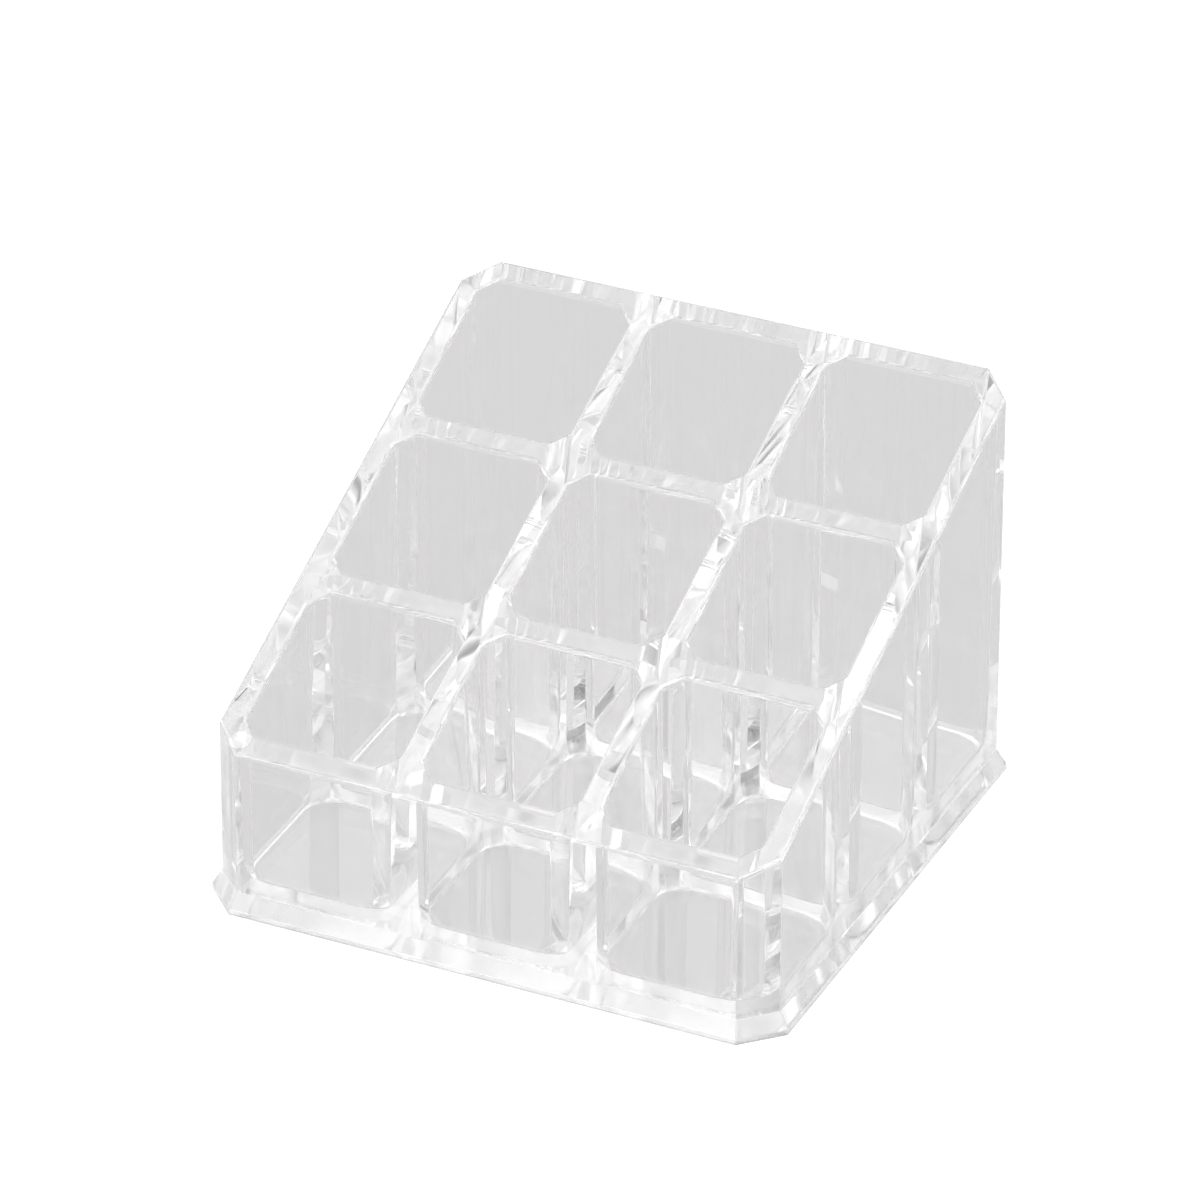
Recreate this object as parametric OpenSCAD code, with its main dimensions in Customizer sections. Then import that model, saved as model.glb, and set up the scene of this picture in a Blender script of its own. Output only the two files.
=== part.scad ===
// Slanted nine-pocket vanity organizer in clear plastic: a moulded block of
// pockets that steps up to the back, bonded onto a base plate with a bevelled rim.
// Origin: centre of the underside. X runs left to right, the low side faces -Y, Z is up.

/* [Body] */
// Width of the pocket body where it meets the base plate
body_w = 90; // [75:0.5:130]
// Depth of the pocket body where it meets the base plate
body_d = 90; // [75:0.5:130]
// Height of the slanted rim above the table, at the front face
front_h = 26.7; // [18:0.1:40]
// Height of the slanted rim above the table, at the back face
back_h = 65.8; // [45:0.1:100]
// Flat on each upright outer corner, measured along a side
corner_cut = 4.8; // [2:0.1:7]
// Lean of the outer walls in degrees, narrower at the rim
wall_draft = 0.25; // [0:0.05:1]
// Bevel around the outer edge of the slanted rim
rim_bevel = 0.5; // [0.2:0.1:1.2]

/* [Pockets] */
// Pockets side by side
pocket_columns = 3; // [1:1:4]
// Pockets from front to back
pocket_rows = 3; // [1:1:4]
// Thickness of the outer walls at the rim
wall = 3.7; // [2.5:0.1:5]
// Thickness of the dividers at the rim
divider = 3.75; // [2.5:0.05:5]
// Flat on each pocket corner, measured along a side
pocket_cut = 2.5; // [1:0.1:5]
// Lean of the pocket walls in degrees, narrower at the floor
pocket_draft = 0.8; // [0.2:0.1:1.5]
// Radius between a pocket's walls and its floor
floor_round = 0.5; // [0.3:0.1:1]
// Radius of a pocket corner at the floor, over that of the arc that just spans its flat
corner_gain = 1; // [0.3:0.1:1.5]
// Height above the floor over which that round runs out into the flat
corner_rise = 3; // [2:0.1:5]
// Plastic under the pockets, above the base plate
floor_skin = 0.9; // [0.6:0.1:4]
// Bevel around the mouth of each pocket
mouth_bevel = 0.5; // [0.2:0.1:1]

/* [Base plate] */
// Thickness of the base plate
base_h = 3.4; // [2:0.1:6]
// How far the base plate stands out around the body
base_lip = 1.5; // [0.5:0.1:4]
// Upright edge at the foot of the base plate, under its bevel
base_land = 0.9; // [0.4:0.1:1.6]

/* [Hidden] */
// Faces of a full circle
$fn = 64;
// Overrun of a cut past the face that it opens
over = 1;

// Angle of the slanted rim, and its height above the table at a depth y
rim_angle = atan((back_h - front_h) / body_d);
function rim_z(y) = front_h + (y + body_d / 2) * tan(rim_angle);

// Room for each pocket, taken where the rim crosses the middle of the body
lean_at_rim = (rim_z(0) - base_h) * tan(wall_draft);
pocket_w = (body_w - 2 * lean_at_rim - 2 * wall - (pocket_columns - 1) * divider) / pocket_columns;
pocket_d = (body_d - 2 * lean_at_rim - 2 * wall - (pocket_rows - 1) * divider) / pocket_rows;
floor_z = base_h + floor_skin;
function pocket_x(column) = (column - (pocket_columns - 1) / 2) * (pocket_w + divider);
function pocket_y(row) = (row - (pocket_rows - 1) / 2) * (pocket_d + divider);

// Corner flats grow by this share of the distance that an outline moves out, where a
// flat is stretch times as long in Y as in X
function growth_share(stretch = 1) = (stretch + 1 - sqrt(1 + stretch * stretch)) / stretch;

// Outline of a slice through an upright block: its foot lies on the X axis and its
// sides lean in by lean degrees. A round above zero rounds the two foot corners.
module slice(half, h, lean, round = 0) {
    top = half - h * tan(lean);
    centre = half - round * tan(lean) - round / cos(lean);
    if (round > 0) {
        tangent = [centre + round * cos(lean), round + round * sin(lean)];
        polygon([
            [-centre, 0], [centre, 0], tangent, [top, h],
            [-top, h], [-tangent[0], tangent[1]]
        ]);
        for (side = [-1, 1])
            translate([side * centre, round]) circle(r = round);
    } else {
        polygon([[-half, 0], [half, 0], [top, h], [-top, h]]);
    }
}

// Block with eight leaning sides: four of them make w by d at the foot, and four cut
// its corners back by cut along each side. A stretch above one lengthens the cut in Y.
module eight_sided(w, d, cut, h, lean, round = 0, stretch = 1) {
    reach = w + d;
    half_across = (stretch * w / 2 + d / 2 - stretch * cut) / sqrt(1 + stretch * stretch);
    turn = atan(1 / stretch);
    intersection() {
        rotate([90, 0, 0])
            linear_extrude(reach, center = true) slice(w / 2, h, lean, round);
        rotate([90, 0, 90])
            linear_extrude(reach, center = true) slice(d / 2, h, lean, round);
        intersection_for(side = [-1, 1])
            rotate([90, 0, side * turn])
                linear_extrude(reach, center = true) slice(half_across, h, lean, round);
    }
}

// Everything on the low side of the slanted rim, with the outer edge of the rim bevelled
module under_rim() {
    stretch = 1 / cos(rim_angle);
    rim_w = body_w - 2 * lean_at_rim - 2 * rim_bevel;
    rim_d = (body_d - 2 * lean_at_rim) * stretch - 2 * rim_bevel;
    rim_cut = corner_cut - growth_share() * lean_at_rim - growth_share(stretch) * rim_bevel;
    depth = back_h;
    spread = 2 * depth;
    translate([0, 0, rim_z(0)])
        rotate([rim_angle, 0, 0])
            translate([0, 0, -depth])
                eight_sided(
                    rim_w + spread, rim_d + spread, rim_cut + growth_share(stretch) * depth,
                    depth, 45, stretch = stretch
                );
}

// Bound for a pocket that is w by d at its floor, h deep and has a flat of length cut in
// each corner: near the floor a cone rounds each corner, and a cross leaves the walls free
module round_foot(w, d, cut, h) {
    round = min(cut * (1 + sqrt(1 / 2)) + corner_gain, w / 2 - over, d / 2 - over);
    widening = sqrt(pow(round, 2) + pow(round - cut, 2)) - round;
    rise = corner_rise + over;
    reach = w + d;
    for (x = [-1, 1], y = [-1, 1])
        translate([x * (w / 2 - round), y * (d / 2 - round), 0])
            cylinder(rise, r1 = round, r2 = round + widening * rise / corner_rise);
    translate([0, 0, rise / 2]) {
        cube([w - 2 * round, reach, rise], center = true);
        cube([reach, d - 2 * round, rise], center = true);
    }
    translate([0, 0, (rise + h) / 2]) cube([reach, reach, h - rise], center = true);
}

// Space of one pocket: a well with drafted walls and a rounded floor, open through the
// slanted rim, and a bevel around its mouth
module pocket(row) {
    mouth_z = rim_z(pocket_y(row));
    shrink = (mouth_z - floor_z) * tan(pocket_draft);
    stretch = 1 / cos(rim_angle);
    w = pocket_w - 2 * shrink;
    d = pocket_d - 2 * shrink;
    cut = pocket_cut - growth_share() * shrink;
    h = back_h - floor_z + over;
    translate([0, 0, floor_z])
        intersection() {
            eight_sided(w, d, cut, h, -pocket_draft, floor_round);
            round_foot(w, d, cut, h);
        }
    flare = mouth_bevel + over;
    translate([0, 0, mouth_z])
        rotate([rim_angle, 0, 0])
            translate([0, 0, over])
                mirror([0, 0, 1])
                    eight_sided(
                        pocket_w + 2 * flare, pocket_d * stretch + 2 * flare,
                        pocket_cut + growth_share(stretch) * flare,
                        2 * flare, 45, stretch = stretch
                    );
}

module pocket_body() {
    color("gainsboro", 0.4)
        difference() {
            intersection() {
                translate([0, 0, base_h])
                    eight_sided(body_w, body_d, corner_cut, back_h, wall_draft);
                under_rim();
            }
            for (column = [0 : pocket_columns - 1], row = [0 : pocket_rows - 1])
                translate([pocket_x(column), pocket_y(row), 0]) pocket(row);
        }
}

module base_plate() {
    foot_w = body_w + 2 * base_lip;
    foot_d = body_d + 2 * base_lip;
    foot_cut = corner_cut + growth_share() * base_lip;
    bevel_h = base_h - base_land;
    color("gainsboro", 0.5) {
        eight_sided(foot_w, foot_d, foot_cut, base_land, 0);
        translate([0, 0, base_land])
            eight_sided(foot_w, foot_d, foot_cut, bevel_h, atan(base_lip / bevel_h));
    }
}

pocket_body();
base_plate();
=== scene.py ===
"""Looks of a clear plastic vanity organizer: nine pockets under a slanted rim, on a base plate.

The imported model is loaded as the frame, and its sizes that can be read there are read there.
Lengths are in metres. X runs left to right, the low side faces -Y and Z is up.
"""
import logging
import math
from collections.abc import Callable
from dataclasses import dataclass, field

import bmesh
import bpy
from mathutils import Matrix, Vector


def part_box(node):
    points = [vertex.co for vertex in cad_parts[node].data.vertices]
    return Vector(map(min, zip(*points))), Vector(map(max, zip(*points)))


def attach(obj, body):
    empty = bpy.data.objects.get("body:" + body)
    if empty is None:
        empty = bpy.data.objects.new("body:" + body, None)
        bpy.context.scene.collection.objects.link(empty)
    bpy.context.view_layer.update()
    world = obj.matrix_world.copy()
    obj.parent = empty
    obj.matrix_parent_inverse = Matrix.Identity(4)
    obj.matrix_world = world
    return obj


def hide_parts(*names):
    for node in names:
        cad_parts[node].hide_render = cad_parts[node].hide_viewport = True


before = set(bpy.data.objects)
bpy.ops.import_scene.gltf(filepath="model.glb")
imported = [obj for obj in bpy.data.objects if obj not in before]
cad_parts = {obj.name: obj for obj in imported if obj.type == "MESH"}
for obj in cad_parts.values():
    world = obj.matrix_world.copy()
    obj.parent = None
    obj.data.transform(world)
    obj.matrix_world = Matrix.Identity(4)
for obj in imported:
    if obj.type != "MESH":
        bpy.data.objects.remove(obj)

log = logging.getLogger("vanity_organizer")

Value = bpy.types.NodeSocket | float  # what a Math node takes: a socket or a number

MM = 0.001
# Two places closer than this are the same place
NEAR = 0.01 * MM
# How far a corner of a cut outline slides along its side per unit that the outline grows
EIGHTH_TURN_SHARE = math.tan(math.pi / 8)
# Two faces that fold by no more than this, in degrees, are one surface
FLAT_FOLD = 5.0
# An edge that folds by at least this much, in degrees, stays sharp
SHARP_FOLD = 30.0
# A face whose normal has less than this in Z looks down
DOWNWARD = -0.5
# Weight of the largest faces in the shading of the rounds beside them
FLAT_FACE_WEIGHT = 100
# Strips of the rounds, by how well they are seen
EDGE_STEPS = 2
RIM_STEPS = 3
FLOOR_STEPS = 6
# Waves in the skin of the moulding, per metre
WAVES = 60.0
WHITE = (1.0, 1.0, 1.0, 1.0)


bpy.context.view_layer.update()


def edges_where(
    bm: bmesh.types.BMesh, test: Callable[[bmesh.types.BMEdge], bool]
) -> list[bmesh.types.BMEdge]:
    """Edges of a mesh that pass a test."""
    return [edge for edge in bm.edges if test(edge)]


def is_upright(edge: bmesh.types.BMEdge) -> bool:
    """True if an edge runs more up than along."""
    run = edge.verts[1].co - edge.verts[0].co
    return abs(run.z) > run.xy.length


def is_level(edge: bmesh.types.BMEdge, z: float) -> bool:
    """True if both ends of an edge lie at the height z."""
    return all(abs(vert.co.z - z) < NEAR for vert in edge.verts)


def fold_angle(edge: bmesh.types.BMEdge) -> float:
    """Angle between the two faces of an edge in degrees, zero where they are level."""
    return math.degrees(edge.calc_face_angle(0.0))


def bevel(bm: bmesh.types.BMesh, edges: list[bmesh.types.BMEdge], size: float, segments: int) -> None:
    """Rounds edges of a mesh.

    Args:
        bm: Mesh that is changed.
        edges: Edges to round.
        size: How far the round reaches into each face beside the edge.
        segments: Number of flat strips that the round is made of.
    """
    bmesh.ops.bevel(
        bm,
        geom=edges,
        offset=size,
        offset_type="OFFSET",
        affect="EDGES",
        segments=segments,
        profile=0.5,
        material=-1,
        clamp_overlap=False,
        miter_outer="SHARP",
        miter_inner="SHARP",
    )


@dataclass(frozen=True)
class Outline:
    """Rectangle whose four corners are cut off at 45 degrees, seen from above.

    Attributes:
        half_w: Half of its width in X.
        half_d: Half of its depth in Y.
        cut: Length that each cut takes off a side.
        centre: Where its middle lies.
    """

    half_w: float
    half_d: float
    cut: float
    centre: tuple[float, float] = (0.0, 0.0)

    def grown(self, distance: float) -> "Outline":
        """The outline with all eight sides moved out by a distance."""
        cut = self.cut + distance * (2 - math.sqrt(2))
        return Outline(self.half_w + distance, self.half_d + distance, cut, self.centre)

    def push(self, vert: bmesh.types.BMVert, distance: float) -> None:
        """Moves a point of the outline as its sides move out by a distance.

        Args:
            vert: Point that lies on the outline.
            distance: How far the sides move out. Below zero they move in.
        """
        away = vert.co.xy - Vector(self.centre)
        on_x = abs(abs(away.x) - self.half_w) < NEAR
        on_y = abs(abs(away.y) - self.half_d) < NEAR
        slide = distance * (EIGHTH_TURN_SHARE if on_x or on_y else math.sqrt(0.5))
        step_x = distance if on_x else slide if self.is_corner(away) else 0.0
        step_y = distance if on_y else slide if self.is_corner(away) else 0.0
        vert.co.x += step_x * math.copysign(1.0, away.x)
        vert.co.y += step_y * math.copysign(1.0, away.y)

    def is_corner(self, away: Vector) -> bool:
        """True if a point, measured from the middle, is an end of one of the four cuts."""
        return abs(abs(away.x) + abs(away.y) - self.half_w - self.half_d + self.cut) < NEAR

    def cut_planes(self) -> list[tuple[Vector, Vector]]:
        """Finds the four upright planes that cut the corners.

        Returns:
            A point and the outward normal of each plane.
        """
        planes = []
        for side_x in (-1, 1):
            for side_y in (-1, 1):
                point = Vector((
                    self.centre[0] + side_x * (self.half_w - self.cut),
                    self.centre[1] + side_y * self.half_d,
                    0.0,
                ))
                planes.append((point, Vector((side_x, side_y, 0)).normalized()))
        return planes


def cut_off_corners(bm: bmesh.types.BMesh, outline: Outline) -> None:
    """Takes off the four corners of a flat sheet.

    Args:
        bm: Mesh of the sheet.
        outline: Outline whose cuts are followed.
    """
    for point, normal in outline.cut_planes():
        bmesh.ops.bisect_plane(
            bm,
            geom=bm.verts[:] + bm.edges[:] + bm.faces[:],
            plane_co=point,
            plane_no=normal,
            clear_outer=True,
        )


def raise_ring(
    bm: bmesh.types.BMesh,
    ring: list[bmesh.types.BMEdge],
    outline: Outline,
    z: float,
    distance: float,
) -> list[bmesh.types.BMEdge]:
    """Pulls a wall out of a ring of open edges.

    Args:
        bm: Mesh that is changed.
        ring: Edges that the wall starts from.
        outline: Outline that the ring lies on.
        z: Height of the wall's other end.
        distance: How far the sides move out on the way.

    Returns:
        The open edges at the wall's other end.
    """
    pulled = bmesh.ops.extrude_edge_only(bm, edges=ring)["geom"]
    for item in pulled:
        if isinstance(item, bmesh.types.BMVert):
            item.co.z = z
            outline.push(item, distance)
    return [item for item in pulled if isinstance(item, bmesh.types.BMEdge) and is_level(item, z)]


def finish_mesh(bm: bmesh.types.BMesh, name: str) -> bpy.types.Object:
    """Turns a bmesh into an object with smooth rounds and flat, true faces.

    Args:
        bm: Closed mesh. It is freed.
        name: Name of the new piece.

    Returns:
        The object, linked to the scene, with its place in its mesh.
    """
    bmesh.ops.remove_doubles(bm, verts=bm.verts[:], dist=NEAR / 10)
    bmesh.ops.recalc_face_normals(bm, faces=bm.faces[:])
    for face in bm.faces:
        face.smooth = True
    for edge in bm.edges:
        edge.smooth = fold_angle(edge) < SHARP_FOLD
    mesh = bpy.data.meshes.new(name)
    bm.to_mesh(mesh)
    bm.free()
    piece = bpy.data.objects.new(name, mesh)
    bpy.context.scene.collection.objects.link(piece)
    weighted = piece.modifiers.new("flat faces stay flat", "WEIGHTED_NORMAL")
    weighted.mode = "FACE_AREA"
    weighted.weight = FLAT_FACE_WEIGHT
    weighted.keep_sharp = True
    return piece


@dataclass
class PocketBody:
    """Clear moulding with a grid of deep pockets that open through a slanted rim.

    Attributes:
        columns: Pockets side by side.
        rows: Pockets from front to back.
        front_h: Height of the rim's plane at the front face.
        back_h: Height of the rim's plane at the back face.
        corner_cut: Flat on each upright outer corner, along a side.
        wall_draft: Lean of the outer walls in radians.
        wall: Thickness of the outer walls at the rim.
        divider: Thickness of the dividers at the rim.
        pocket_cut: Flat on each pocket corner, along a side.
        pocket_draft: Lean of the pocket walls in radians.
        floor_skin: Plastic under the pockets.
        floor_round: Radius between pocket walls and floor.
        mouth_round: Reach of the round at each mouth.
        rim_round: Reach of the round at the outer edge of the rim.
        edge_round: Reach of the round on the upright outer corners.
        bond: How far the body reaches into the base plate, so that light passes as through a bond.
        floor_corner: Radius of a pocket's corners at the floor, seen from above.
        flare_h: Height above the floor over which that radius runs out into the flat.
        flare_steps: Levels at which the walls are split there.
        upright_round: Reach of the round on the upright edges inside the pockets.
        mark_radius: Radius of the round mark that the mould leaves on the rim.
        mark_place: Where the middle of the mark lies, in X and Y.
        mark_lift: How far the middle of the mark's disc lies above the rim.
        mark_h: Thickness of that disc, most of which is sunk in the rim.
        mark_round: Reach of the round at the disc's edges.
        mark_sides: Sides of the disc.
        foot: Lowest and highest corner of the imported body's box.
    """

    columns: int = 3
    rows: int = 3
    front_h: float = 26.7 * MM
    back_h: float = 65.8 * MM
    corner_cut: float = 4.8 * MM
    wall_draft: float = math.radians(0.25)
    wall: float = 3.7 * MM
    divider: float = 3.75 * MM
    pocket_cut: float = 2.5 * MM
    pocket_draft: float = math.radians(0.8)
    floor_skin: float = 0.9 * MM
    floor_round: float = 0.5 * MM
    mouth_round: float = 0.7 * MM
    rim_round: float = 0.6 * MM
    edge_round: float = 0.15 * MM
    bond: float = 0.02 * MM
    floor_corner: float = 5.0 * MM
    flare_h: float = 3.0 * MM
    flare_steps: int = 5
    upright_round: float = 0.15 * MM
    mark_radius: float = 1.65 * MM
    mark_place: tuple[float, float] = (-40.3 * MM, -42.4 * MM)
    mark_lift: float = 0.01 * MM
    mark_h: float = 0.14 * MM
    mark_round: float = 0.05 * MM
    mark_sides: int = 48
    foot: tuple[Vector, Vector] = field(default_factory=lambda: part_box("pocket_body"))

    def __post_init__(self) -> None:
        """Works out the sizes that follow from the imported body's box."""
        low, high = self.foot
        self.foot_z = low.z - self.bond
        self.floor_z = low.z + self.floor_skin
        self.outline = Outline((high.x - low.x) / 2, (high.y - low.y) / 2, self.corner_cut)
        lean = (self.rim_z(0.0) - self.foot_z) * math.tan(self.wall_draft)
        room_w = 2 * (self.outline.half_w - lean - self.wall) + self.divider
        room_d = 2 * (self.outline.half_d - lean - self.wall) + self.divider
        self.pitch_x = room_w / self.columns
        self.pitch_y = room_d / self.rows

    def rim_z(self, y: float) -> float:
        """Height of the slanted rim at a depth."""
        half_d = self.outline.half_d
        return self.front_h + (y + half_d) * (self.back_h - self.front_h) / (2 * half_d)

    def pocket_outline(self, x: float, y: float) -> Outline:
        """Outline of a pocket at the height where the rim crosses its middle.

        Args:
            x: Place of the pocket's middle in X.
            y: Place of the pocket's middle in Y.

        Returns:
            The outline around that place.
        """
        half_w = (self.pitch_x - self.divider) / 2
        half_d = (self.pitch_y - self.divider) / 2
        return Outline(half_w, half_d, self.pocket_cut, (x, y))

    def lay_out_rim(self, bm: bmesh.types.BMesh) -> list[bmesh.types.BMFace]:
        """Makes the rim as a flat sheet with one face for each mouth.

        Args:
            bm: Empty mesh that takes the sheet.

        Returns:
            The square faces of the mouths.
        """
        bmesh.ops.create_grid(bm, x_segments=self.columns, y_segments=self.rows, size=1.0)
        half_w = self.pitch_x * self.columns / 2
        half_d = self.pitch_y * self.rows / 2
        bmesh.ops.scale(bm, vec=(half_w, half_d, 1.0), verts=bm.verts[:])
        mouths = bm.faces[:]
        bmesh.ops.inset_individual(bm, faces=mouths, thickness=self.divider / 2, use_even_offset=True)
        for vert in bm.verts:
            if abs(abs(vert.co.x) - half_w) < NEAR:
                vert.co.x = math.copysign(self.outline.half_w, vert.co.x)
            if abs(abs(vert.co.y) - half_d) < NEAR:
                vert.co.y = math.copysign(self.outline.half_d, vert.co.y)
        return mouths

    def cut_mouth(self, bm: bmesh.types.BMesh, mouth: bmesh.types.BMFace) -> bmesh.types.BMFace:
        """Splits the four corners off a mouth.

        Args:
            bm: Mesh of the rim.
            mouth: Square face of the mouth.

        Returns:
            The eight-sided face that is left of it.
        """
        middle = mouth.calc_center_median()
        outline = self.pocket_outline(middle.x, middle.y)
        for point, normal in outline.cut_planes():
            cut = bmesh.ops.bisect_plane(
                bm,
                geom=list(mouth.verts) + list(mouth.edges) + [mouth],
                plane_co=point,
                plane_no=normal,
                dist=NEAR / 100,
            )
            edge = next(item for item in cut["geom_cut"] if isinstance(item, bmesh.types.BMEdge))
            mouth = max(edge.link_faces, key=lambda face: face.calc_area())
            corner = next(face for face in edge.link_faces if face != mouth)
            tip = next(vert for vert in corner.verts if vert not in edge.verts)
            _, middle_vert = bmesh.utils.edge_split(edge, edge.verts[0], 0.5)
            bmesh.ops.weld_verts(bm, targetmap={tip: middle_vert})
        return mouth

    def sink_pocket(self, bm: bmesh.types.BMesh, mouth: bmesh.types.BMFace) -> None:
        """Pulls one pocket down from its mouth to a flat floor, with drafted walls.

        Args:
            bm: Mesh of the body.
            mouth: Face of the mouth, which becomes the floor.
        """
        middle = mouth.calc_center_bounds()
        outline = self.pocket_outline(middle.x, middle.y)
        mouth_z = self.rim_z(middle.y)
        rim_verts = list(mouth.verts)
        floor = bmesh.ops.extrude_discrete_faces(bm, faces=[mouth])["faces"][0]
        for vert in floor.verts:
            vert.co.z = self.floor_z
            outline.push(vert, (self.floor_z - mouth_z) * math.tan(self.pocket_draft))
        for vert in rim_verts:
            outline.push(vert, (vert.co.z - mouth_z) * math.tan(self.pocket_draft))
            vert.co.z = self.rim_z(vert.co.y)

    def drop_walls(self, bm: bmesh.types.BMesh) -> None:
        """Pulls the outer walls down to the foot, leans them in at the rim and closes the underside.

        Args:
            bm: Mesh of the rim, which is open at its outer edge.
        """
        edges = [edge for edge in bm.edges if edge.is_boundary]
        rim_verts = {vert for edge in edges for vert in edge.verts}
        foot_ring = raise_ring(bm, edges, self.outline, self.foot_z, 0.0)
        for vert in rim_verts:
            self.outline.push(vert, (self.foot_z - vert.co.z) * math.tan(self.wall_draft))
            vert.co.z = self.rim_z(vert.co.y)
        bmesh.ops.contextual_create(bm, geom=foot_ring)

    def soften(self, bm: bmesh.types.BMesh) -> None:
        """Rounds the floors, the mouths, the rim and the upright corners.

        Args:
            bm: Closed mesh of the body.
        """
        half_w, half_d = self.outline.half_w, self.outline.half_d

        def is_outer(edge: bmesh.types.BMEdge) -> bool:
            """Tells the edges of the outer walls from those of the pockets.

            Args:
                edge: Edge of the body.

            Returns:
                True if the edge lies on the outer walls.
            """
            margin = self.wall / 2
            middle = (edge.verts[0].co + edge.verts[1].co) / 2
            across = (abs(middle.x) + abs(middle.y) - half_w - half_d + self.corner_cut) / math.sqrt(2)
            return max(abs(middle.x) - half_w, abs(middle.y) - half_d, across) > -margin

        def is_folded(edge: bmesh.types.BMEdge) -> bool:
            """True if the two faces of an edge don't lie in one plane."""
            return fold_angle(edge) > FLAT_FOLD

        outer_corners = edges_where(bm, lambda e: is_outer(e) and is_upright(e) and is_folded(e))
        bevel(bm, outer_corners, self.edge_round, EDGE_STEPS)
        inner_corners = edges_where(bm, lambda e: not is_outer(e) and is_upright(e) and is_folded(e))
        bevel(bm, inner_corners, self.upright_round, EDGE_STEPS)
        floors = edges_where(bm, lambda e: is_level(e, self.floor_z) and is_folded(e))
        bevel(bm, floors, self.floor_round, FLOOR_STEPS)
        self.round_floor_corners(bm)
        slant_top = self.floor_z + self.flare_h + self.floor_round
        rim = edges_where(
            bm,
            lambda e: is_folded(e) and not is_upright(e) and min(v.co.z for v in e.verts) > slant_top,
        )
        bevel(bm, [edge for edge in rim if not is_outer(edge)], self.mouth_round, EDGE_STEPS)
        rim = edges_where(
            bm,
            lambda e: fold_angle(e) > SHARP_FOLD and not is_upright(e) and is_outer(e)
            and min(v.co.z for v in e.verts) > slant_top,
        )
        bevel(bm, rim, self.rim_round, RIM_STEPS)

    def pocket_centres(self, count: int, pitch: float) -> list[float]:
        """Places of the pocket middles along one direction."""
        return [(number - (count - 1) / 2) * pitch for number in range(count)]

    def round_floor_corners(self, bm: bmesh.types.BMesh) -> None:
        """Turns the cut corners of the pockets into full rounds near the floor.

        Args:
            bm: Closed mesh of the body, with the floors' edges rounded.
        """
        top = self.floor_z + self.flare_h
        low = self.floor_z + self.floor_round
        planes = [
            (Vector((0, 0, low + (top - low) * step / self.flare_steps)), Vector((0, 0, 1)))
            for step in range(1, self.flare_steps + 1)
        ]
        grid = (
            (self.columns, self.pitch_x, Vector((1, 0, 0))),
            (self.rows, self.pitch_y, Vector((0, 1, 0))),
        )
        for number, pitch, axis in grid:
            reach = (pitch - self.divider) / 2 - self.floor_corner
            for middle in self.pocket_centres(number, pitch):
                planes += [(axis * (middle + side * reach), axis) for side in (-1, 1)]
        half_w, half_d = self.outline.half_w - self.wall / 2, self.outline.half_d - self.wall / 2
        for point, normal in planes:
            faces = [
                face for face in bm.faces
                if face.normal.z > DOWNWARD
                and abs(face.calc_center_median().x) < half_w
                and abs(face.calc_center_median().y) < half_d
                and min(vert.co.z for vert in face.verts) < top
            ]
            parts = {part for face in faces for part in (face, *face.edges, *face.verts)}
            bmesh.ops.bisect_plane(bm, geom=list(parts), plane_co=point, plane_no=normal, dist=NEAR)
        for vert in bm.verts:
            if self.floor_z - NEAR < vert.co.z < top:
                self.round_off(vert)

    def round_off(self, vert: bmesh.types.BMVert) -> None:
        """Moves a point near a pocket's floor in towards the full round of its corner.

        Args:
            vert: Point that is moved, where it lies outside that round.
        """
        beyond = max(abs(vert.co.x) - self.outline.half_w, abs(vert.co.y) - self.outline.half_d)
        if beyond > -self.wall / 2:
            return
        middle_x = min(self.pocket_centres(self.columns, self.pitch_x), key=lambda x: abs(vert.co.x - x))
        middle_y = min(self.pocket_centres(self.rows, self.pitch_y), key=lambda y: abs(vert.co.y - y))
        height = vert.co.z - self.floor_z
        lean = (self.rim_z(middle_y) - vert.co.z) * math.tan(self.pocket_draft)
        half_w = (self.pitch_x - self.divider) / 2 - lean
        half_d = (self.pitch_y - self.divider) / 2 - lean
        away = vert.co.xy - Vector((middle_x, middle_y))
        centre = Vector((half_w - self.floor_corner, half_d - self.floor_corner))
        arm = Vector((max(abs(away.x) - centre.x, 0.0), max(abs(away.y) - centre.y, 0.0)))
        rise = max(self.floor_round - height, 0.0)
        fillet = self.floor_round - math.sqrt(self.floor_round ** 2 - rise ** 2)
        most = self.floor_corner - fillet
        if min(arm) <= 0.0 or arm.length <= most:
            return
        share = (1.0 - height / self.flare_h) ** 2
        shift = arm * (most / arm.length - 1.0) * share
        vert.co.x += math.copysign(1.0, away.x) * shift.x
        vert.co.y += math.copysign(1.0, away.y) * shift.y

    def add_mark(self, bm: bmesh.types.BMesh) -> None:
        """Adds the low round mark that the mould leaves on a corner of the rim.

        Args:
            bm: Mesh of the body.
        """
        slope = math.atan((self.back_h - self.front_h) / (2 * self.outline.half_d))
        x, y = self.mark_place
        middle = Matrix.Translation((x, y, self.rim_z(y) + self.mark_lift))
        disc = bmesh.ops.create_cone(
            bm,
            cap_ends=True,
            segments=self.mark_sides,
            radius1=self.mark_radius,
            radius2=self.mark_radius,
            depth=self.mark_h,
            matrix=middle @ Matrix.Rotation(slope, 4, "X"),
        )
        edges = {edge for vert in disc["verts"] for edge in vert.link_edges}
        bevel(bm, [edge for edge in edges if fold_angle(edge) > SHARP_FOLD], self.mark_round, EDGE_STEPS)

    def build(self) -> bpy.types.Object:
        """Builds the body as one closed piece.

        Returns:
            The finished piece.
        """
        bm = bmesh.new()
        mouths = self.lay_out_rim(bm)
        cut_off_corners(bm, self.outline)
        mouths = [self.cut_mouth(bm, mouth) for mouth in mouths]
        for vert in bm.verts:
            vert.co.z = self.rim_z(vert.co.y)
        self.drop_walls(bm)
        for mouth in mouths:
            self.sink_pocket(bm, mouth)
        bmesh.ops.recalc_face_normals(bm, faces=bm.faces[:])
        self.soften(bm)
        self.add_mark(bm)
        return finish_mesh(bm, "clear_pocket_body")


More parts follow.
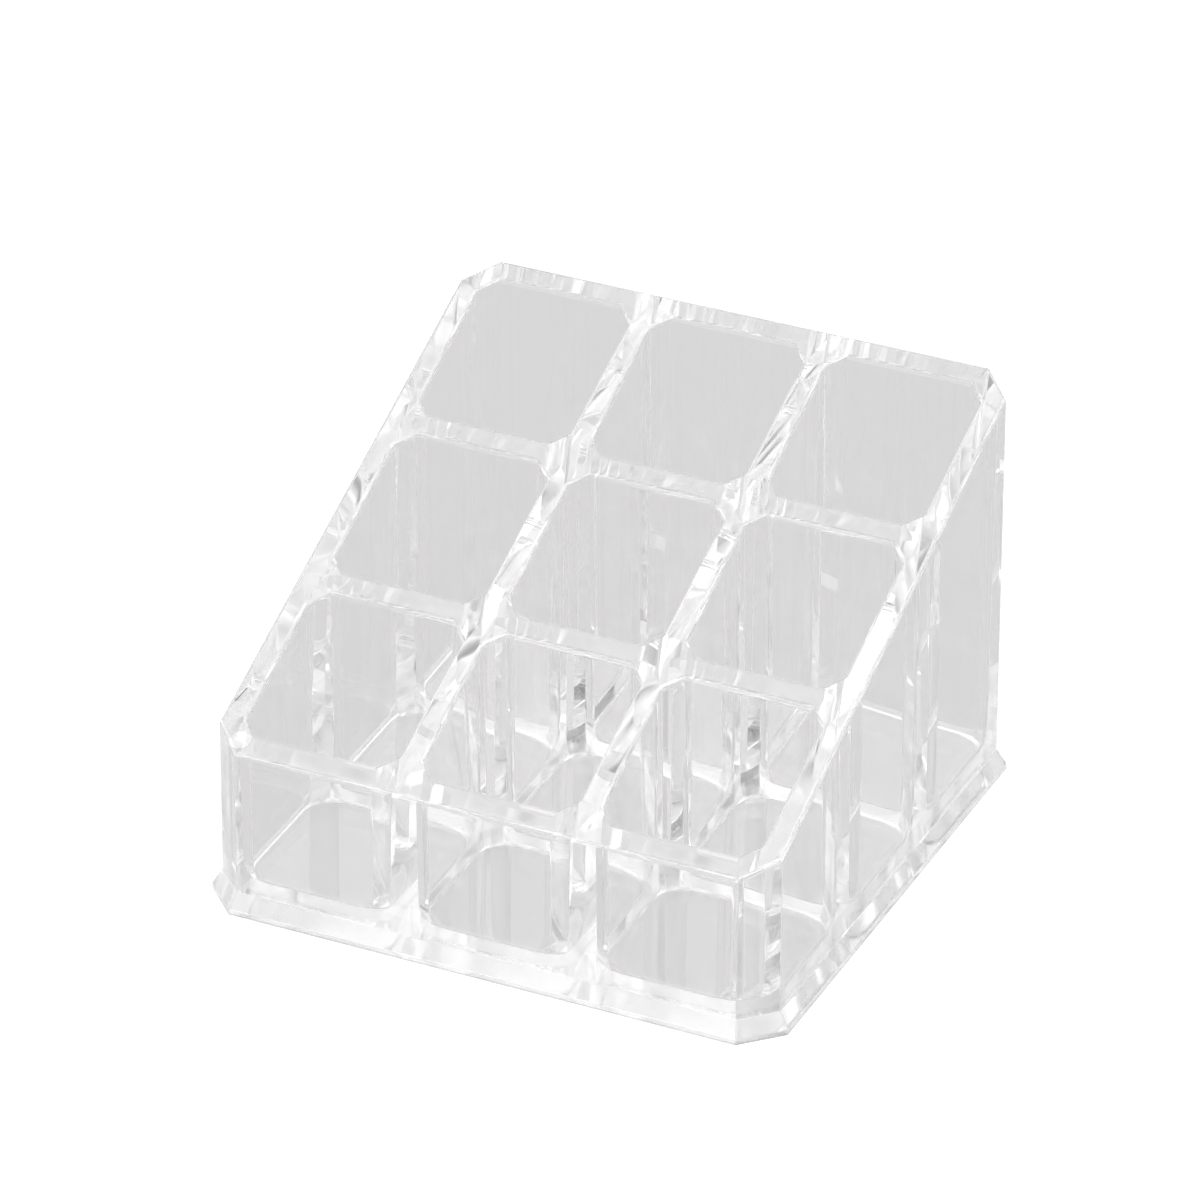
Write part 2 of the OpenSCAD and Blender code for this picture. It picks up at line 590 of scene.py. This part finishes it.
@dataclass
class BasePlate:
    """Clear plate under the body, with a bevelled lip that stands out all round.

    Attributes:
        corner_cut: Flat on each corner at the foot, along a side.
        land: Upright edge at the foot, under the bevel.
        lip: How far the plate stands out around the body.
        edge_round: Reach of the small rounds along its edges.
        place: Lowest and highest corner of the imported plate's box.
    """

    corner_cut: float = 4.8 * MM
    land: float = 0.9 * MM
    lip: float = 1.5 * MM
    edge_round: float = 0.2 * MM
    place: tuple[Vector, Vector] = field(default_factory=lambda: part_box("base_plate"))

    def build(self) -> bpy.types.Object:
        """Builds the plate as one closed piece.

        Returns:
            The finished piece.
        """
        low, high = self.place
        half_w, half_d = (high.x - low.x) / 2, (high.y - low.y) / 2
        top = Outline(half_w - self.lip, half_d - self.lip, self.corner_cut)
        foot = top.grown(self.lip)
        bm = bmesh.new()
        bmesh.ops.create_grid(bm, x_segments=1, y_segments=1, size=1.0)
        bmesh.ops.scale(bm, vec=(foot.half_w, foot.half_d, 1.0), verts=bm.verts[:])
        bmesh.ops.translate(bm, vec=(0, 0, low.z), verts=bm.verts[:])
        cut_off_corners(bm, foot)
        ring = raise_ring(bm, bm.edges[:], foot, low.z + self.land, 0.0)
        ring = raise_ring(bm, ring, foot, high.z, -self.lip)
        bmesh.ops.contextual_create(bm, geom=ring)
        bmesh.ops.recalc_face_normals(bm, faces=bm.faces[:])
        bevel(bm, edges_where(bm, lambda e: fold_angle(e) > FLAT_FOLD), self.edge_round, RIM_STEPS)
        return finish_mesh(bm, "clear_base_plate")


class NodeBoard:
    """Node tree with short calls that add and join nodes."""

    def __init__(self, tree: bpy.types.NodeTree) -> None:
        """Starts with an empty tree."""
        self.tree = tree
        tree.nodes.clear()

    def add(self, kind: str, **settings: object) -> bpy.types.Node:
        """Adds a node.

        Args:
            kind: Type of the node.
            **settings: Values for its properties, by name.

        Returns:
            The node.
        """
        node = self.tree.nodes.new(kind)
        for name, value in settings.items():
            setattr(node, name, value)
        return node

    def join(self, source: bpy.types.NodeSocket, target: bpy.types.NodeSocket) -> None:
        """Links an output to an input."""
        self.tree.links.new(source, target)

    def maths(self, operation: str, first: Value, second: Value | None = None) -> bpy.types.NodeSocket:
        """Adds a Math node.

        Args:
            operation: What it works out.
            first: First input.
            second: Second input, where the operation takes two.

        Returns:
            The socket with the result.
        """
        node = self.add("ShaderNodeMath", operation=operation)
        for socket, value in zip(node.inputs, (first, second)):
            if isinstance(value, bpy.types.NodeSocket):
                self.join(value, socket)
            elif value is not None:
                socket.default_value = value
        return node.outputs[0]


def moulded_surface_group() -> bpy.types.NodeTree:
    """Node group for the skin of a clear moulding, with the slow waves that it keeps as it cools.

    Its input is the height of the waves, and its output is a height for a bump.

    Returns:
        The group's node tree.
    """
    tree = bpy.data.node_groups.new("moulded_surface", "ShaderNodeTree")
    for name, way in (("Wave Height", "INPUT"), ("Height", "OUTPUT")):
        tree.interface.new_socket(name, in_out=way, socket_type="NodeSocketFloat")
    board = NodeBoard(tree)
    given = board.add("NodeGroupInput")
    out = board.add("NodeGroupOutput")
    place = board.add("ShaderNodeTexCoord")
    waves = board.add("ShaderNodeTexNoise")
    waves.inputs["Scale"].default_value = WAVES
    waves.inputs["Detail"].default_value = 1.0
    board.join(place.outputs["Object"], waves.inputs["Vector"])
    height = board.maths("MULTIPLY", waves.outputs[0], given.outputs["Wave Height"])
    board.join(height, out.inputs["Height"])
    return tree


@dataclass(frozen=True)
class ClearPlastic:
    """Clear, polished styrene plastic.

    Attributes:
        name: Name of the material.
        tint: Colour that it gives to what is seen through it.
        shade: Colour of the light that it lets through to what lies under it.
        wave_height: Height of the slow waves, as a share of wave_depth.
        wave_depth: Height of the bump where the waves are at full strength.
        polish: Roughness of the surface.
        ior: How strongly it bends light.
        most_turns: Light that has turned this often inside the walls goes straight on.
        foot_haze: Roughness of the underside, which stands on the table.
        painted_foot_shade: Share of the tint taken away in a thin band along the foot, a painted contact
            shadow where the plate meets the table.
        under_h: Height up to which the underside reaches.
        painted_shade_h: Height up to which the painted shadow line along the foot reaches.
    """

    name: str
    tint: tuple[float, float, float] = (0.995, 0.994, 0.995)
    shade: tuple[float, float, float] = (0.992, 0.992, 0.993)
    wave_height: float = 0.04
    wave_depth: float = 0.05 * MM
    polish: float = 0.0
    ior: float = 1.57
    most_turns: float = 30.5
    foot_haze: float = 0.0
    painted_foot_shade: float = 0.0
    under_h: float = 0.05 * MM
    painted_shade_h: float = 0.35 * MM

    def satin_foot_and_painted_shade(self, board: NodeBoard, plastic: bpy.types.Node) -> None:
        """Makes the underside satin and paints a thin line of shade along the foot, a painted contact
        shadow where the plate meets the table.

        Args:
            board: Tree of the material.
            plastic: Its Principled shader.
        """
        spot = board.add("ShaderNodeSeparateXYZ")
        board.join(board.add("ShaderNodeTexCoord").outputs["Object"], spot.inputs[0])
        under = board.maths("LESS_THAN", spot.outputs["Z"], self.under_h)
        satin = board.maths("MULTIPLY", under, self.foot_haze)
        board.join(board.maths("ADD", satin, self.polish), plastic.inputs["Roughness"])
        # Painted shade: a thin band just above the underside gets a darker tint, standing in for the
        # contact shadow along the foot.
        painted_shade_band = board.maths("SUBTRACT", board.maths("LESS_THAN", spot.outputs["Z"], self.painted_shade_h), under)
        light = board.maths("SUBTRACT", 1.0, board.maths("MULTIPLY", painted_shade_band, self.painted_foot_shade))
        shaded = board.add("ShaderNodeVectorMath", operation="SCALE")
        shaded.inputs[0].default_value = self.tint
        board.join(light, shaded.inputs["Scale"])
        board.join(shaded.outputs[0], plastic.inputs["Base Color"])

    def make(self, surface_group: bpy.types.NodeTree) -> bpy.types.Material:
        """Builds the material around the shared surface group.

        Args:
            surface_group: Group that gives the height of the moulding's waves.

        Returns:
            The finished material.
        """
        material = bpy.data.materials.new(self.name)
        material.use_nodes = True
        board = NodeBoard(material.node_tree)
        out = board.add("ShaderNodeOutputMaterial")
        plastic = board.add("ShaderNodeBsdfPrincipled")
        plastic.inputs["Base Color"].default_value = (*self.tint, 1.0)
        plastic.inputs["Roughness"].default_value = self.polish
        plastic.inputs["IOR"].default_value = self.ior
        plastic.inputs["Transmission Weight"].default_value = 1.0
        surface = board.add("ShaderNodeGroup", node_tree=surface_group)
        surface.inputs["Wave Height"].default_value = self.wave_height
        bump = board.add("ShaderNodeBump")
        bump.inputs["Distance"].default_value = self.wave_depth
        board.join(surface.outputs["Height"], bump.inputs["Height"])
        board.join(bump.outputs["Normal"], plastic.inputs["Normal"])
        if self.foot_haze:
            self.satin_foot_and_painted_shade(board, plastic)
        see_through = board.add("ShaderNodeBsdfTransparent")
        see_through.inputs["Color"].default_value = (*self.shade, 1.0)
        path = board.add("ShaderNodeLightPath")
        chooser = board.add("ShaderNodeMixShader")
        lamp_ray = board.maths("MAXIMUM", path.outputs["Is Shadow Ray"], path.outputs["Is Diffuse Ray"])
        tired_ray = board.maths("GREATER_THAN", path.outputs["Ray Depth"], self.most_turns)
        board.join(board.maths("MAXIMUM", lamp_ray, tired_ray), chooser.inputs[0])
        board.join(plastic.outputs[0], chooser.inputs[1])
        board.join(see_through.outputs[0], chooser.inputs[2])
        board.join(chooser.outputs[0], out.inputs["Surface"])
        return material


@dataclass(frozen=True)
class SoftPatch:
    """Round, soft-edged patch of the surround that is brighter or darker than the rest.

    Attributes:
        azimuth: Turn of its middle round the object, in degrees from +X towards +Y.
        elevation: Height angle of its middle, in degrees.
        core: Angle from the middle up to which it is full, in degrees.
        edge: Angle from the middle at which it ends, in degrees.
        strength: What it adds to the level of the surround. Below zero it darkens.
    """

    azimuth: float
    elevation: float
    core: float
    edge: float
    strength: float

    def direction(self) -> Vector:
        """Direction of its middle."""
        azimuth, elevation = math.radians(self.azimuth), math.radians(self.elevation)
        return Vector((
            math.cos(azimuth) * math.cos(elevation),
            math.sin(azimuth) * math.cos(elevation),
            math.sin(elevation),
        ))

    def add_to(self, board: NodeBoard, looked: bpy.types.NodeSocket, level: Value) -> bpy.types.NodeSocket:
        """Adds the patch to the level of the surround.

        Args:
            board: Tree of the surround.
            looked: Socket with the direction that is looked in.
            level: Level without the patch, a socket or a number.

        Returns:
            The level with the patch.
        """
        dot = board.add("ShaderNodeVectorMath", operation="DOT_PRODUCT")
        board.join(looked, dot.inputs[0])
        dot.inputs[1].default_value = self.direction()
        fade = board.add("ShaderNodeMapRange", interpolation_type="SMOOTHSTEP")
        fade.inputs["From Min"].default_value = math.cos(math.radians(self.edge))
        fade.inputs["From Max"].default_value = math.cos(math.radians(self.core))
        fade.inputs["To Max"].default_value = self.strength
        board.join(dot.outputs["Value"], fade.inputs["Value"])
        return board.maths("ADD", fade.outputs[0], level)


@dataclass
class Studio:
    """Pale table, soft light and the camera of the photograph.

    Attributes:
        aim: Point that the camera looks at.
        azimuth: Turn of the camera round the object, in degrees.
        elevation: Height angle of the camera, in degrees.
        roll: Tilt of the camera about its own axis, in degrees.
        distance: From the aim point to the camera.
        lens: Focal length in millimetres.
        sensor: Width of the camera's sensor in millimetres.
        far: Distance up to which the camera sees.
        table_grey: How much light the table returns.
        table_tint: Share of that for red, green and blue.
        table_half: Half of the table's width.
        table_gap: Air between the table and the plate that stands on it.
        table_glow: What the table adds for the camera alone, so that the background is white.
        level: Strength of the surround where it has no patch.
        patches: Lamps and dark parts of the studio.
        turns: Times that light may turn on its way through the walls.
        passes: Walls that light may pass straight through.
    """

    aim: tuple[float, float, float] = (-4.67 * MM, 4.59 * MM, 35.66 * MM)
    azimuth: float = 25.14
    elevation: float = 29.92
    roll: float = 0.13
    distance: float = 1.1222
    lens: float = 227.6
    sensor: float = 36.0
    far: float = 50.0
    table_grey: float = 0.64
    table_tint: tuple[float, float, float] = (1.006, 0.994, 1.0)
    table_half: float = 4.0
    table_gap: float = 0.05 * MM
    table_glow: float = 0.5
    level: float = 0.88
    patches: tuple[SoftPatch, ...] = (
        SoftPatch(264, 5, 16, 26, 1.3),
        SoftPatch(305, 42, 14, 26, 0.3),
        SoftPatch(0, 90, 12, 22, 1.2),
        SoftPatch(112, 32, 18, 42, 0.35),
        SoftPatch(55, -3, 12, 30, -0.8),
        SoftPatch(138, 10, 16, 28, -0.8),
        SoftPatch(20, 64, 7, 16, -0.5),
        SoftPatch(326, 5, 12, 29, -0.5),
        SoftPatch(170, 18, 6, 13, 0.9),
        SoftPatch(295.6, 29.5, 6, 16, -1.0),
        SoftPatch(109, 66, 5, 14, 0.7),
        SoftPatch(168, 34, 6, 12, -0.8),
        SoftPatch(155, 66, 7, 13, 1.1),
        SoftPatch(238, 42, 5, 10, 1.7),
    )
    turns: int = 40
    passes: int = 64

    def away(self) -> Vector:
        """Direction from the aim point to the camera."""
        azimuth, elevation = math.radians(self.azimuth), math.radians(self.elevation)
        return Vector((
            math.sin(azimuth) * math.cos(elevation),
            -math.cos(azimuth) * math.cos(elevation),
            math.sin(elevation),
        ))

    def place_camera(self) -> None:
        """Creates the camera at the photograph's angle."""
        away = self.away()
        data = bpy.data.cameras.new("camera")
        data.lens = self.lens
        data.sensor_width = self.sensor
        data.clip_end = self.far
        camera = bpy.data.objects.new("camera", data)
        bpy.context.scene.collection.objects.link(camera)
        turn = away.to_track_quat("Z", "Y").to_matrix().to_4x4()
        camera.matrix_world = (
            Matrix.Translation(Vector(self.aim) + away * self.distance)
            @ turn
            @ Matrix.Rotation(math.radians(self.roll), 4, "Z")
        )
        bpy.context.scene.camera = camera

    def lay_table(self) -> None:
        """Lays the pale table that the organizer stands on."""
        bm = bmesh.new()
        bmesh.ops.create_grid(bm, x_segments=1, y_segments=1, size=self.table_half)
        bmesh.ops.translate(bm, vec=(0, 0, -self.table_gap), verts=bm.verts[:])
        mesh = bpy.data.meshes.new("table")
        bm.to_mesh(mesh)
        bm.free()
        table = bpy.data.objects.new("table", mesh)
        bpy.context.scene.collection.objects.link(table)
        material = bpy.data.materials.new("table_white")
        material.use_nodes = True
        board = NodeBoard(material.node_tree)
        out = board.add("ShaderNodeOutputMaterial")
        paper = board.add("ShaderNodeBsdfDiffuse")
        paper.inputs["Color"].default_value = (*(self.table_grey * share for share in self.table_tint), 1.0)
        glow = board.add("ShaderNodeEmission")
        path = board.add("ShaderNodeLightPath")
        glow.inputs["Color"].default_value = WHITE
        seen = board.maths("MULTIPLY", path.outputs["Is Camera Ray"], self.table_glow)
        board.join(seen, glow.inputs["Strength"])
        both = board.add("ShaderNodeAddShader")
        board.join(paper.outputs[0], both.inputs[0])
        board.join(glow.outputs[0], both.inputs[1])
        board.join(both.outputs[0], out.inputs["Surface"])
        table.data.materials.append(material)

    def light_room(self) -> None:
        """Lights the room with a pale surround that has soft bright and dark patches."""
        world = bpy.data.worlds.new("room")
        bpy.context.scene.world = world
        world.use_nodes = True
        board = NodeBoard(world.node_tree)
        out = board.add("ShaderNodeOutputWorld")
        place = board.add("ShaderNodeTexCoord")
        level: Value = self.level
        for patch in self.patches:
            level = patch.add_to(board, place.outputs["Generated"], level)
        room = board.add("ShaderNodeBackground")
        room.inputs["Color"].default_value = WHITE
        board.join(board.maths("MAXIMUM", level, 0.0), room.inputs["Strength"])
        white = board.add("ShaderNodeBackground")
        white.inputs["Color"].default_value = WHITE
        path = board.add("ShaderNodeLightPath")
        chooser = board.add("ShaderNodeMixShader")
        board.join(path.outputs["Is Camera Ray"], chooser.inputs[0])
        board.join(room.outputs[0], chooser.inputs[1])
        board.join(white.outputs[0], chooser.inputs[2])
        board.join(chooser.outputs[0], out.inputs["Surface"])

    def set_light_paths(self) -> None:
        """Lets light pass through all the walls of the pockets without a bright speckle."""
        cycles = bpy.context.scene.cycles
        cycles.max_bounces = self.turns
        cycles.transmission_bounces = self.turns
        cycles.glossy_bounces = self.turns
        cycles.transparent_max_bounces = self.passes
        cycles.caustics_reflective = False
        cycles.caustics_refractive = False
        bpy.context.scene.view_settings.view_transform = "Standard"

    def build(self) -> None:
        """Sets up the whole studio."""
        self.lay_table()
        self.light_room()
        self.place_camera()
        self.set_light_paths()


def dress(piece: bpy.types.Object, material: bpy.types.Material, node: str) -> None:
    """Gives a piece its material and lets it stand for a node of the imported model.

    Args:
        piece: The finished piece.
        material: Its finish.
        node: Node that it replaces.
    """
    piece.data.materials.append(material)
    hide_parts(node)
    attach(piece, "root")
    log.info("%s: %d faces, stands for %s", piece.name, len(piece.data.polygons), node)


def main() -> None:
    """Builds the studio and the two clear pieces."""
    logging.basicConfig(level=logging.INFO, format="%(name)s: %(message)s")
    Studio().build()
    surface_group = moulded_surface_group()
    body_plastic = ClearPlastic("clear_body_plastic")
    dress(PocketBody().build(), body_plastic.make(surface_group), "pocket_body")
    # The base plate's tint carries a painted shadow line along its foot.
    base_plastic = ClearPlastic("clear_base_plastic", foot_haze=0.1, painted_foot_shade=0.4)
    dress(BasePlate().build(), base_plastic.make(surface_group), "base_plate")


if __name__ == "__main__":
    main()
